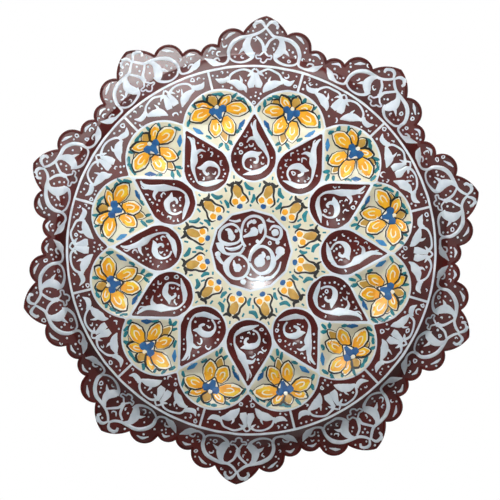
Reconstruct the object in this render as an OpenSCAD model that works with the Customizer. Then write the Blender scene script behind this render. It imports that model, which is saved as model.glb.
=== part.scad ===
// Enamelled wall plate: a pressed copper blank with enamel coats and a hanging ring behind.
// Drawn facing +Z with its back on z = 0, then stood upright so that the front faces -Y.

/* [Outline] */
// Radius of the ten lobe tips
tip_r = 150; // [140:0.5:160]
// Number of lobes round the rim
lobes = 10; // [10:1:10]
// Turn of the rim against the pressed dish
rim_turn = -2.4; // [-4:0.1:4]
// Radius of the arcs that form a pointed tip
tip_arc_r = 21.7; // [19:0.1:24]
// Offset of each tip arc from the lobe axis
tip_arc_x = 5.7; // [4:0.1:7]
// Radius of the large scallops beside a tip
large_r = 9; // [8:0.1:10]
// Distance of the large scallops from the plate axis
large_at = 133.4; // [132:0.1:135]
// Angle of the large scallops from the lobe axis
large_angle = 8.8; // [8.2:0.1:9.4]
// Radius of the small scallops next to a notch
small_r = 7; // [6.5:0.1:7.5]
// Distance of the small scallops from the plate axis
small_at = 127.4; // [126:0.1:128.5]
// Angle of the small scallops from the lobe axis
small_angle = 15; // [14.6:0.1:15.4]

/* [Coats] */
// Thickness of the copper sheet
copper_t = 1; // [0.8:0.05:1.2]
// Thickness of the plain enamel on the back
counter_t = 0.4; // [0.3:0.05:0.5]
// Thickness of the white enamel on the front
ground_t = 0.4; // [0.3:0.05:0.5]
// Thickness of the coloured enamel over the white
colour_t = 0.3; // [0.2:0.05:0.4]
// Thickness of a cell's whole coat, from the copper up
cell_t = 0.7; // [0.6:0.05:0.8]

/* [Dish] */
// Height of the dish above the rim
dish_rise = 10; // [9.5:0.1:12]
// Radius of the dish edge
dish_r = 117.6; // [116.5:0.1:118.5]
// Slope of the wall between dish and rim
wall_slope = 52; // [46:1:60]
// Radius of the shoulder at the dish edge
shoulder_r = 2; // [1.8:0.1:2.4]
// Radius of the cove at the foot of the wall
cove_r = 3; // [2:0.1:4]
// Width of the white lines
line_w = 1.5; // [1.3:0.1:2]

/* [Cells] */
// Radius of a petal cell on the land
petal_r = 23; // [22:0.1:23.4]
// Distance of a petal cell from the plate axis
petal_at = 80.2; // [79.8:0.1:80.6]
// Distance of a petal cell's inner corner from the plate axis
petal_tip = 64.1; // [63.8:0.1:66]
// Depth of a petal cell
petal_h = 5; // [4:0.1:5.5]
// Radius of a teardrop cell's round end
tear_r = 14; // [13:0.1:14.2]
// Distance of a teardrop cell's round end from the plate axis
tear_at = 58.5; // [58.2:0.1:59]
// Distance of a teardrop cell's point from the plate axis
tear_tip = 86.3; // [85.5:0.1:86.5]
// Depth of a teardrop cell
tear_h = 4; // [3:0.1:4.5]
// Radius at which the tulip ring starts to slope in
ring_r = 42; // [41:0.1:42.2]
// Drop of the tulip ring to the centre bowl
ring_drop = 1.5; // [1:0.1:2]
// Radius of the centre bowl
bowl_r = 25.8; // [25:0.1:27]
// Depth of the centre bowl
bowl_h = 3.5; // [2.5:0.1:4]

/* [Hanger] */
// Height of the ring's pivot above the plate centre
pivot_y = 97.5; // [96:0.1:98]
// Radius of the ring wire
wire_r = 1.2; // [1:0.05:1.3]
// Radial clearance of the wire in the strap eye
pivot_gap = 0.05; // [0.03:0.01:0.1]
// Thickness of the strap
strap_t = 1; // [0.8:0.05:1.2]
// Width of the strap
strap_w = 12; // [10:0.5:12.4]
// Length of the strap's flat leg
strap_l = 11; // [10:0.5:11.5]
// Thickness of the pad under the strap
pad_t = 2.8; // [2.6:0.1:3.2]
// Half width of the ring, to the wire's middle
ring_w = 9; // [8.9:0.1:9.6]
// Length of the ring from its pivot, to the wire's middle
ring_l = 15; // [13.5:0.1:15.5]
// Radius of the ring's upper corners, to the wire's middle
ring_bend = 2.5; // [2:0.1:2.6]
// Radius of the rivet shanks
rivet_r = 1.1; // [0.9:0.05:1.3]
// Radial clearance of the rivets in their holes
rivet_gap = 0.02; // [0.01:0.01:0.05]

/* [Hidden] */
$fn = 96;
cells = 12;
step = 360 / cells;
lobe_step = 360 / lobes;
deep = 6;
over = 0.2;
blunt = 0.5;
seat = 0.02;

rim_z = counter_t + copper_t;
land_z = rim_z + dish_rise;
face_z = land_z + ground_t;
depth = face_z + colour_t;

wall_n = 90 - wall_slope;
shoulder_x = dish_r - shoulder_r * cos(wall_n);
shoulder_z = land_z - shoulder_r;
wall_drop = dish_rise - shoulder_r * (1 - sin(wall_n)) - cove_r * (1 - sin(wall_n));
cove_x = dish_r + wall_drop / tan(wall_slope) + cove_r * cos(wall_n);
cove_z = rim_z + cove_r;

petal_ball = (petal_r * petal_r + petal_h * petal_h) / (2 * petal_h);
petal_up = 45;
petal_cone = acos(cos(45) * cos(petal_up));
tear_ball = (tear_r * tear_r + tear_h * tear_h) / (2 * tear_h);
tear_run = tear_tip - tear_at;
tear_up = atan((tear_ball - tear_h) / tear_run);
tear_reach = tear_run / cos(tear_up);
tear_cone = asin(tear_ball / tear_reach) - 0.8;
ring_slope = atan(ring_drop / (ring_r - bowl_r));
bowl_ball = (bowl_r * bowl_r + bowl_h * bowl_h) / (2 * bowl_h);
bowl_z = land_z - ring_drop - bowl_h + bowl_ball;

back_z = land_z - copper_t;
pad_z = back_z - pad_t;
eye_r = wire_r + pivot_gap;
pivot_z = pad_z - eye_r - strap_t;
leg_z = pad_z - strap_t;
pad_w = 14;
pad_y0 = pivot_y + 2;
pad_y1 = pivot_y + strap_l + 1;
pad_clear = 0.5;
rivet_x = 3.2;
rivet_y = pivot_y + 6.5;
head_r = 2;
head_h = 1.2;
head_ball = (head_r * head_r + head_h * head_h) / (2 * head_h);

function tag(i) = str(i < 10 ? "0" : "", i);
function names(stem) = [for (i = [1:cells]) str(stem, tag(i))];

// Stands the plate up, with its middle on the origin.
module upright() translate([0, depth / 2, 0]) rotate([90, 0, 0]) children();

module on_axis(i) rotate(step * (i - 1)) children();

module between(i) rotate(step * (i - 0.5)) children();

// One lobe of the rim: a pointed tip with two scallops on each side.
module lobe() {
  tip_y = tip_r - sqrt(tip_arc_r * tip_arc_r - tip_arc_x * tip_arc_x);
  intersection() {
    translate([tip_arc_x, tip_y]) circle(tip_arc_r);
    translate([-tip_arc_x, tip_y]) circle(tip_arc_r);
  }
  for (side = [-1, 1]) {
    rotate(side * large_angle) translate([0, large_at]) circle(large_r);
    rotate(side * small_angle) translate([0, small_at]) circle(small_r);
  }
}

module rim_outline() {
  circle(small_at + 1);
  for (i = [1:lobes]) rotate(rim_turn + lobe_step * (i - 1)) lobe();
}

function arc(x, z, r, from, to, n = 5) =
  [for (k = [0:n]) [x + r * cos(from + (to - from) * k / n), z + r * sin(from + (to - from) * k / n)]];

// Round block of the dish, its wall and its cove, moved out by o.
module dish_block(o) {
  section = concat(
    [[0, land_z + o]],
    arc(shoulder_x, shoulder_z, shoulder_r + o, 90, wall_n),
    arc(cove_x, cove_z, cove_r - o, 180 + wall_n, 270),
    [[cove_x, 1 - deep], [0, 1 - deep]]
  );
  rotate_extrude() polygon(section);
}

module rim_block(o) {
  translate([0, 0, -deep])
    linear_extrude(deep + rim_z + o)
      rim_outline();
}

module slab(o) translate([0, 0, -deep - 1]) cylinder(h = deep + 1 + rim_z + o, r = tip_r + 10);

// Keeps what lies just above the land moved out by o, and below.
module near_land(o) {
  intersection() {
    children();
    translate([-tip_r, 0, land_z - 20]) cube([2 * tip_r, tip_r, 20 + o + over]);
  }
}

// Hollow of a petal cell: a wide cone from its inner corner, ended by a ball.
module petal_hollow(o) {
  cone_h = 40;
  intersection() {
    near_land(o)
      translate([0, petal_at, land_z - petal_h + petal_ball])
        sphere(petal_ball - o);
    translate([0, petal_tip, land_z])
      rotate([petal_up - 90, 0, 0])
        translate([0, 0, o / sin(petal_cone) + blunt / tan(petal_cone)])
          cylinder(h = cone_h, r1 = blunt, r2 = blunt + cone_h * tan(petal_cone));
  }
}

// Hollow of a teardrop cell: a ball drawn out to a point by a cone.
module teardrop_hollow(o) {
  lift = o / sin(tear_cone);
  cut = blunt / tan(tear_cone);
  cone_h = (tear_reach - lift) * pow(cos(tear_cone), 2);
  near_land(o) union() {
    translate([0, tear_at, land_z - tear_h + tear_ball])
      sphere(tear_ball - o);
    translate([0, tear_tip, land_z])
      rotate([90 - tear_up, 0, 0])
        translate([0, 0, lift + cut])
          cylinder(h = cone_h - cut, r1 = blunt, r2 = cone_h * tan(tear_cone));
  }
}

// Sloping sides of the tulip ring, as a polygon from the axis.
module ring_section(o, edge, top) {
  rise = o / cos(ring_slope);
  start = land_z - ring_r * tan(ring_slope) + rise;
  polygon([[0, start], [edge, start + edge * tan(ring_slope)], [edge, top], [0, top]]);
}

module bowl_hollow(o) translate([0, 0, bowl_z]) sphere(bowl_ball - o);

// Hollow of the tulip ring and the bowl inside it.
module centre_hollow(o) {
  edge = ring_r + 0.3;
  rotate_extrude() intersection() {
    union() {
      ring_section(o, edge, land_z + o + 3);
      translate([0, bowl_z]) circle(bowl_ball - o);
    }
    translate([0, land_z - 20]) square([edge, 20 + o + over]);
  }
}

module hollows(o) {
  for (i = [1:cells]) {
    between(i) petal_hollow(o);
    on_axis(i) teardrop_hollow(o);
  }
  centre_hollow(o);
}

// What a hollow moved out by o1 holds outside the same hollow moved out by o2.
module lining(o1) {
  difference() {
    intersection() {
      children(0);
      below(land_z + o1);
    }
    children(1);
  }
}

// The cells moved out by o, filled up to the height z.
module filled_cells(o, z) {
  for (i = [1:cells]) {
    between(i) intersection() {
      petal_hollow(o);
      below(z);
    }
    on_axis(i) intersection() {
      teardrop_hollow(o);
      below(z);
    }
  }
}

// Sheet between the pressed surface moved out by o1 and by o2, with or without its cells.
module pressed_sheet(o1, o2, with_cells = true) {
  difference() {
    union() {
      difference() {
        union() {
          dish_block(o2);
          rim_block(o2);
        }
        difference() {
          dish_block(o1);
          centre_hollow(o1);
        }
        slab(o1);
      }
      if (with_cells) filled_cells(o1, land_z + (o1 + o2) / 2);
    }
    hollows(o2);
  }
}

module below(z) translate([0, 0, z - 60]) cylinder(h = 60, r = tip_r + 10);

module pad_outline(more) {
  translate([-pad_w / 2 - more, pad_y0 - more])
    square([pad_w + 2 * more, pad_y1 - pad_y0 + 2 * more]);
}

module copper_blank() color("#b4643c") pressed_sheet(-copper_t, 0);

module ground_enamel() color("#eef1f2") pressed_sheet(0, ground_t, with_cells = false);

module counter_enamel() {
  color("#e6e4da") difference() {
    pressed_sheet(-copper_t - counter_t, -copper_t - seat);
    translate([0, 0, back_z - 2]) linear_extrude(4) pad_outline(pad_clear);
  }
}

module rim_enamel() {
  top = ground_t + colour_t;
  color("#5c1f1c") difference() {
    union() {
      dish_block(top);
      rim_block(top);
    }
    union() {
      dish_block(ground_t);
      slab(ground_t);
    }
    translate([0, 0, rim_z + 2]) linear_extrude(60) circle(dish_r);
  }
}

// One maroon panel of the border, between two white dividers.
module border_panel(i) {
  half_x = sin(step / 2);
  half_y = cos(step / 2);
  color("#5c1f1c") on_axis(i)
    translate([0, 0, face_z])
      linear_extrude(colour_t)
        difference() {
          intersection() {
            circle(dish_r - line_w);
            polygon([[0, 0], tip_r * [-half_x, half_y], tip_r * [half_x, half_y]]);
          }
          circle(petal_at);
          for (side = [-1, 1]) rotate(side * step / 2) {
            translate([0, petal_at]) circle(petal_r + line_w);
            translate([-line_w / 2, petal_at]) square([line_w, tip_r]);
          }
        }
}

// Coat of a petal cell from the copper up, as high as the land.
module petal_cell(i) {
  color("#efe4bd") between(i) lining(0) {
    petal_hollow(0);
    petal_hollow(cell_t);
  }
}

module teardrop_cell(i) {
  color("#5c1f1c") on_axis(i) lining(0) {
    teardrop_hollow(0);
    teardrop_hollow(cell_t);
  }
}

// Cream ring of tulips, cut out round the heads of the teardrops.
module tulip_ring() {
  edge = tear_at - 7;
  color("#efe4bd") intersection() {
    rotate_extrude() difference() {
      union() {
        intersection() {
          ring_section(ground_t, edge, face_z + colour_t);
          translate([0, land_z - 10]) square([edge, 10 + ground_t]);
        }
        translate([0, face_z]) square([edge, colour_t]);
      }
      ring_section(ground_t + colour_t, edge, face_z + 5);
    }
    translate([0, 0, land_z - 10]) linear_extrude(20) difference() {
      circle(edge);
      circle(bowl_r + line_w / 2, $fn = cells);
      for (i = [1:cells]) on_axis(i) translate([0, tear_at]) circle(tear_r + line_w);
    }
  }
}

module centre_medallion() {
  color("#5c1f1c") intersection() {
    difference() {
      bowl_hollow(ground_t + seat);
      bowl_hollow(ground_t + colour_t);
    }
    translate([0, 0, land_z - 10]) linear_extrude(20) circle(bowl_r - line_w / 2, $fn = cells);
  }
}

module rivet_places() for (side = [-1, 1]) translate([side * rivet_x, rivet_y, 0]) children();

module hanger_pad() {
  color("#a85f3a") difference() {
    translate([0, 0, pad_z]) linear_extrude(pad_t) pad_outline(0);
    rivet_places() translate([0, 0, pad_z - 1]) cylinder(h = pad_t + 2, r = rivet_r + rivet_gap);
  }
}

// Strip with its lower end rolled into an eye round the ring wire.
module hanger_strap() {
  color("#b98b3e") difference() {
    union() {
      translate([0, pivot_y, pivot_z])
        rotate([0, 90, 0])
          rotate_extrude(angle = 290, start = 180)
            translate([eye_r, -strap_w / 2]) square([strap_t, strap_w]);
      translate([-strap_w / 2, pivot_y, leg_z]) cube([strap_w, strap_l, strap_t]);
    }
    rivet_places() translate([0, 0, leg_z - 1]) cylinder(h = strap_t + 2, r = rivet_r + rivet_gap);
  }
}

module strap_rivets() {
  color("#b98b3e") rivet_places() {
    translate([0, 0, leg_z]) cylinder(h = back_z - leg_z, r = rivet_r);
    intersection() {
      translate([0, 0, leg_z - head_h + head_ball]) sphere(head_ball);
      translate([0, 0, leg_z - head_h]) cylinder(h = head_h, r = head_r + 1);
    }
  }
}

// Wire ring with a straight bar in the strap eye, stored hanging down.
module hanger_ring() {
  bar = ring_w - ring_bend;
  side_l = ring_l - ring_w - ring_bend;
  color("#c39a4a") translate([0, pivot_y, pivot_z]) {
    rotate([0, 90, 0]) cylinder(h = 2 * bar, r = wire_r, center = true);
    for (side = [0, 1]) mirror([side, 0, 0]) {
      translate([bar, -ring_bend, 0])
        rotate_extrude(angle = 90) translate([ring_bend, 0]) circle(wire_r);
      translate([ring_w, -ring_bend, 0]) rotate([90, 0, 0]) cylinder(h = side_l, r = wire_r);
    }
    translate([0, ring_w - ring_l, 0])
      rotate_extrude(angle = 180, start = 180) translate([ring_w, 0]) circle(wire_r);
  }
}

upright() copper_blank();
upright() ground_enamel();
upright() counter_enamel();
upright() rim_enamel();
for (i = [1:cells]) {
  upright() border_panel(i);
  upright() petal_cell(i);
  upright() teardrop_cell(i);
}
upright() tulip_ring();
upright() centre_medallion();
upright() hanger_pad();
upright() hanger_strap();
upright() strap_rivets();
upright() hanger_ring();
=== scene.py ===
import logging
import math
from dataclasses import dataclass
from enum import Enum
from typing import Callable, Sequence

import bpy
import numpy as np
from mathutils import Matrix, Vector
from mathutils.bvhtree import BVHTree


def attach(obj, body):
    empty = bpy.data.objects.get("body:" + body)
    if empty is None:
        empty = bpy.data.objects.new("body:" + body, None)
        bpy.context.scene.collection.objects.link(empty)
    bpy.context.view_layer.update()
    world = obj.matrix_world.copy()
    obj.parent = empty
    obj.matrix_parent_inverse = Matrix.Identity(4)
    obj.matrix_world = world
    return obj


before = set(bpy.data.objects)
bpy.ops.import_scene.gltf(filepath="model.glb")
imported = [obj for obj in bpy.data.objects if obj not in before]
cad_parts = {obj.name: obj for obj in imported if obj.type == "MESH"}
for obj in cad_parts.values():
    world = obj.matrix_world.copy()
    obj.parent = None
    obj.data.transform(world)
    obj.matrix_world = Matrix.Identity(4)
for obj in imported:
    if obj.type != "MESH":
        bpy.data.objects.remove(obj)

LOG = logging.getLogger("wall_plate")
MM = 0.001
CELLS = 12
LOBES = 10
STEP = 360 / CELLS
LOBE_STEP = 360 / LOBES
Point = tuple[float, float]
Triple = tuple[float, float, float]
Box = tuple[float, float, float, float]


def linear(code: str) -> tuple[float, float, float, float]:
    """Linear colour of an sRGB hex code.

    Args:
        code: Colour such as "#5c1f1c".

    Returns:
        Red, green, blue and alpha.
    """
    parts = [int(code[i:i + 2], 16) / 255 for i in (1, 3, 5)]
    flat = [c / 12.92 if c <= 0.04045 else ((c + 0.055) / 1.055) ** 2.4 for c in parts]
    return (flat[0], flat[1], flat[2], 1.0)


def add_node(tree: bpy.types.NodeTree, kind: str, inputs: dict | None = None,
             **settings: object) -> bpy.types.Node:
    """Adds a shader node and fills its sockets.

    Args:
        tree: Node tree to add to.
        kind: Node type, such as "ShaderNodeMix".
        inputs: Socket names or numbers, with a value or an output socket to link.
        settings: Properties of the node itself.

    Returns:
        The new node.
    """
    node = tree.nodes.new(kind)
    for name, value in settings.items():
        setattr(node, name, value)
    for name, value in (inputs or {}).items():
        if isinstance(value, bpy.types.NodeSocket):
            tree.links.new(value, node.inputs[name])
        else:
            node.inputs[name].default_value = value
    return node


def new_material(name: str) -> tuple[bpy.types.Material, bpy.types.NodeTree]:
    """Makes an empty node material.

    Args:
        name: Name of the finish.

    Returns:
        The material and its tree.
    """
    material = bpy.data.materials.new(name)
    material.use_nodes = True
    material.node_tree.nodes.clear()
    return material, material.node_tree


def mottled(tree: bpy.types.NodeTree, place: bpy.types.NodeSocket, light: str, dark: str,
            size_mm: float, spread: float) -> bpy.types.NodeSocket:
    """Colour that wanders between two tones.

    Args:
        tree: Node tree to add to.
        place: Object coordinates.
        light: Lighter tone, sRGB hex.
        dark: Darker tone, sRGB hex.
        size_mm: Size of a patch.
        spread: Half width of the blend between the tones.

    Returns:
        Colour socket.
    """
    noise = add_node(tree, "ShaderNodeTexNoise", {
        "Vector": place, "Scale": 1 / (size_mm * MM), "Detail": 4.0})
    blend = add_node(tree, "ShaderNodeMapRange", {
        "Value": noise.outputs["Fac"], "From Min": 0.5 - spread, "From Max": 0.5 + spread})
    mix = add_node(tree, "ShaderNodeMix", {
        "Factor": blend.outputs["Result"], 6: linear(dark), 7: linear(light)}, data_type="RGBA")
    return mix.outputs[2]


@dataclass(frozen=True)
class Enamel:
    """Fired enamel: a glossy glass coat over mottled colour, with a faint ripple."""

    name: str
    light: str
    dark: str
    patch_mm: float = 16.0
    spread: float = 0.22
    roughness: float = 0.28
    coat: float = 0.35
    coat_roughness: float = 0.1
    specular: float = 0.5
    ripple_mm: float = 7.0
    ripple_depth_mm: float = 0.6
    ripple: float = 0.12

    def material(self) -> bpy.types.Material:
        """Builds the material.

        Returns:
            The new material.
        """
        material, tree = new_material(self.name)
        place = add_node(tree, "ShaderNodeTexCoord").outputs["Object"]
        colour = mottled(tree, place, self.light, self.dark, self.patch_mm, self.spread)
        wave = add_node(tree, "ShaderNodeTexNoise", {
            "Vector": place, "Scale": 1 / (self.ripple_mm * MM), "Detail": 2.0})
        bump = add_node(tree, "ShaderNodeBump", {
            "Height": wave.outputs["Fac"], "Strength": self.ripple, "Distance": self.ripple_depth_mm * MM})
        shader = add_node(tree, "ShaderNodeBsdfPrincipled", {
            "Base Color": colour, "Roughness": self.roughness, "Coat Weight": self.coat,
            "Specular IOR Level": self.specular, "Coat Roughness": self.coat_roughness,
            "Normal": bump.outputs["Normal"]})
        add_node(tree, "ShaderNodeOutputMaterial", {"Surface": shader.outputs[0]})
        return material


@dataclass(frozen=True)
class Brushwork(Enamel):
    """Enamel laid on with a brush: a thin coat, less glossy and almost without ripple."""

    roughness: float = 0.45
    coat: float = 0.1
    ripple: float = 0.05


@dataclass(frozen=True)
class Metal:
    """Bare metal with tarnish in patches and fine scratches."""

    name: str
    light: str
    dark: str
    patch_mm: float = 6.0
    spread: float = 0.25
    roughness: float = 0.32
    smoother: float = 0.08
    rougher: float = 0.14
    scratch_mm: float = 0.5
    scratch_depth_mm: float = 0.05
    scratch: float = 0.15

    def material(self) -> bpy.types.Material:
        """Builds the material.

        Returns:
            The new material.
        """
        material, tree = new_material(self.name)
        place = add_node(tree, "ShaderNodeTexCoord").outputs["Object"]
        colour = mottled(tree, place, self.light, self.dark, self.patch_mm, self.spread)
        grain = add_node(tree, "ShaderNodeTexNoise", {
            "Vector": place, "Scale": 1 / (self.scratch_mm * MM), "Detail": 3.0})
        rough = add_node(tree, "ShaderNodeMapRange", {
            "Value": grain.outputs["Fac"], "To Min": self.roughness - self.smoother,
            "To Max": self.roughness + self.rougher})
        bump = add_node(tree, "ShaderNodeBump", {
            "Height": grain.outputs["Fac"], "Strength": self.scratch, "Distance": self.scratch_depth_mm * MM})
        shader = add_node(tree, "ShaderNodeBsdfPrincipled", {
            "Base Color": colour, "Metallic": 1.0, "Roughness": rough.outputs["Result"],
            "Normal": bump.outputs["Normal"]})
        add_node(tree, "ShaderNodeOutputMaterial", {"Surface": shader.outputs[0]})
        return material


class Finish(Enum):
    """Every finish of the plate."""

    # Maroon enamel of the rim, the border and the centre: dark red glass that mirrors the lamps.
    MAROON = Enamel("maroon_enamel", "#651d18", "#3f100e", patch_mm=22)
    # The same enamel in the teardrops, less glossy.
    CELL = Enamel("maroon_cell_enamel", "#651d18", "#3f100e", patch_mm=22, roughness=0.42, coat=0.08,
                  specular=0.3)
    # The same enamel where it has drawn back from the cut edge, almost dull.
    EDGE = Enamel("maroon_enamel_edge", "#601b16", "#430f0d", patch_mm=9, roughness=0.5, coat=0.05,
                  specular=0.2)
    # Cream enamel of the petal cells and the tulip ring, soft in its gloss.
    CREAM = Enamel("cream_enamel", "#eeecdb", "#ddd6b4", patch_mm=15, roughness=0.42, coat=0.12)
    # White enamel lines between the fields, cool and glossy.
    GROUND = Enamel("white_enamel", "#eef4f8", "#d9e3ea", patch_mm=12)
    # White brushwork on the maroon.
    WHITE = Brushwork("white_brushwork", "#eaf1f7", "#cfdbe4", patch_mm=7, roughness=0.38, coat=0.15)
    # Lighter cream of the painted petals.
    PALE = Brushwork("pale_cream_brushwork", "#fcf9ea", "#f4ecd0", patch_mm=6)
    # Golden yellow of the petals.
    GOLD = Brushwork("golden_brushwork", "#fec01a", "#f59f08", patch_mm=5)
    # Yellow where the gold thins out.
    YELLOW = Brushwork("yellow_brushwork", "#ffdc3c", "#fcc722", patch_mm=5)
    # Ochre of the buds and tulips.
    OCHRE = Brushwork("ochre_brushwork", "#d9ad4c", "#bd8a2c", patch_mm=5)
    # Black outlines.
    BLACK = Brushwork("black_brushwork", "#1f1c18", "#0f0d0b", patch_mm=4)
    # Cobalt blue of the flower hearts.
    COBALT = Brushwork("cobalt_brushwork", "#0f6aa8", "#0a4886", patch_mm=4)
    # Thin cobalt that shows the cream through it.
    SKY = Brushwork("pale_blue_brushwork", "#3f97cf", "#1f6aae", patch_mm=4)
    # Teal of the leaf dabs.
    TEAL = Brushwork("teal_brushwork", "#1a909c", "#0a6672", patch_mm=4)
    # Plain enamel on the back, an uneven off-white.
    COUNTER = Enamel("back_enamel", "#dcd8ca", "#c4bead", patch_mm=18)
    # Copper sheet seen at the cut edge and under the hanger, brown where it has tarnished.
    COPPER = Metal("copper_sheet", "#b9653f", "#7c3c22")
    # Brass of the strap, the rivets and the ring, dulled in patches.
    BRASS = Metal("hanger_brass", "#c9a050", "#8e6a2c")


class Palette:
    """Materials, each made once."""

    def __init__(self) -> None:
        """Starts with no materials."""
        self.made: dict[Finish, bpy.types.Material] = {}

    def of(self, finish: Finish) -> bpy.types.Material:
        """Gives the material of a finish, made at its first use.

        Args:
            finish: The finish.

        Returns:
            Its material.
        """
        if finish not in self.made:
            self.made[finish] = finish.value.material()
        return self.made[finish]


class Relief:
    """Front of the plate as a distance towards the viewer."""

    # Where the rays start, in metres: well in front of the plate.
    START = -0.05
    # Depth behind the highest point that stands for a place off the plate, in mm.
    OFF_PLATE = 12.0

    def __init__(self, names: Sequence[str]) -> None:
        """Gathers the front faces.

        Args:
            names: CAD nodes that form the front.
        """
        points: list[Vector] = []
        polygons: list[tuple[int, ...]] = []
        for name in names:
            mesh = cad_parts[name].data
            start = len(points)
            points.extend(v.co.copy() for v in mesh.vertices)
            polygons.extend(tuple(i + start for i in p.vertices) for p in mesh.polygons)
        self.tree = BVHTree.FromPolygons(points, polygons)
        self.low = -min(p.y for p in points) / MM - self.OFF_PLATE

    def out(self, points: np.ndarray) -> np.ndarray:
        """Distance of the front towards the viewer.

        Args:
            points: Places on the plate plane in mm, last axis x and y.

        Returns:
            Distances in mm, without the last axis.
        """
        flat = points.reshape(-1, 2)
        ahead = Vector((0, 1, 0))
        found = np.empty(len(flat))
        for i, (x, y) in enumerate(flat):
            hit = self.tree.ray_cast(Vector((x * MM, self.START, y * MM)), ahead)[0]
            found[i] = self.low if hit is None else -hit.y / MM
        return found.reshape(points.shape[:-1])


def through(points: Sequence[Point], spacing: float, closed: bool = False) -> np.ndarray:
    """Smooth curve through points.

    Args:
        points: Points to pass through.
        spacing: Distance between samples in mm.
        closed: Whether the curve ends where it starts.

    Returns:
        Samples and, in the last column, their place among the points.
    """
    p = np.array(points, float)
    n = len(p)
    rows = []
    for k in range(n if closed else n - 1):
        if closed:
            a, b, c, d = (p[(k + j) % n] for j in (-1, 0, 1, 2))
        else:
            b, c = p[k], p[k + 1]
            a = p[k - 1] if k else 2 * b - c
            d = p[k + 2] if k + 2 < n else 2 * c - b
        count = max(2, int(math.ceil(np.linalg.norm(c - b) / spacing)))
        t = np.arange(count)[:, None] / count
        curve = 0.5 * (2 * b + (c - a) * t + (2 * a - 5 * b + 4 * c - d) * t ** 2
                       + (3 * b - 3 * c + d - a) * t ** 3)
        rows.append(np.hstack([curve, k + t]))
    if not closed:
        rows.append(np.array([[p[-1][0], p[-1][1], n - 1]]))
    return np.vstack(rows)


def sides_of(spine: np.ndarray, closed: bool) -> np.ndarray:
    """Finds the direction to the left along a sampled curve.

    Args:
        spine: Samples of the curve.
        closed: Whether the curve ends where it starts.

    Returns:
        A unit vector for each sample.
    """
    shortest = 1e-9
    if closed:
        along = np.roll(spine, -1, 0) - np.roll(spine, 1, 0)
    else:
        along = np.gradient(spine, axis=0)
    along /= np.maximum(np.linalg.norm(along, axis=1, keepdims=True), shortest)
    return np.stack([-along[:, 1], along[:, 0]], 1)


@dataclass(frozen=True)
class Brush:
    """How a stroke lies on the plate, in mm.

    Attributes:
        lift: Height of its top over the relief, at its edge.
        rise: Height of its dome over that.
        sink: How far its underside lies in the relief.
        columns: Number of points across its top.
        spacing: Distance between points along it.
        closed: Whether it ends where it starts.
        bridge: Whether it lies level across a gap.
    """

    lift: float = 0.05
    rise: float = 0.13
    sink: float = 0.06
    columns: int = 3
    spacing: float = 0.8
    closed: bool = False
    bridge: bool = False


# Brush of a broad stroke, which follows the relief across its width.
WIDE = Brush(columns=5)


@dataclass(frozen=True)
class Fillers:
    """Small marks in the free places of a field: bounds of the draw, room needed and sizes in mm."""

    hook_below: float = 0.6
    hook_room: float = 2.4
    hook_reach: float = 1.3
    hook_r: Point = (1.4, 2.1)
    hook_gap: float = 0.8
    hook_half: float = 0.56
    ring_below: float = 0.7
    ring_room: float = 2.1
    ring_r: Point = (0.9, 1.1)
    ring_half: float = 0.42
    tick_below: float = 0.25
    tick_room: float = 1.8
    tick_r: float = 1.05
    tick_half: float = 0.46
    dot_above: float = 0.72
    dot_room: float = 1.4
    dot_r: Point = (0.6, 0.9)
    sweep: Point = (150.0, 230.0)


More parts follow.
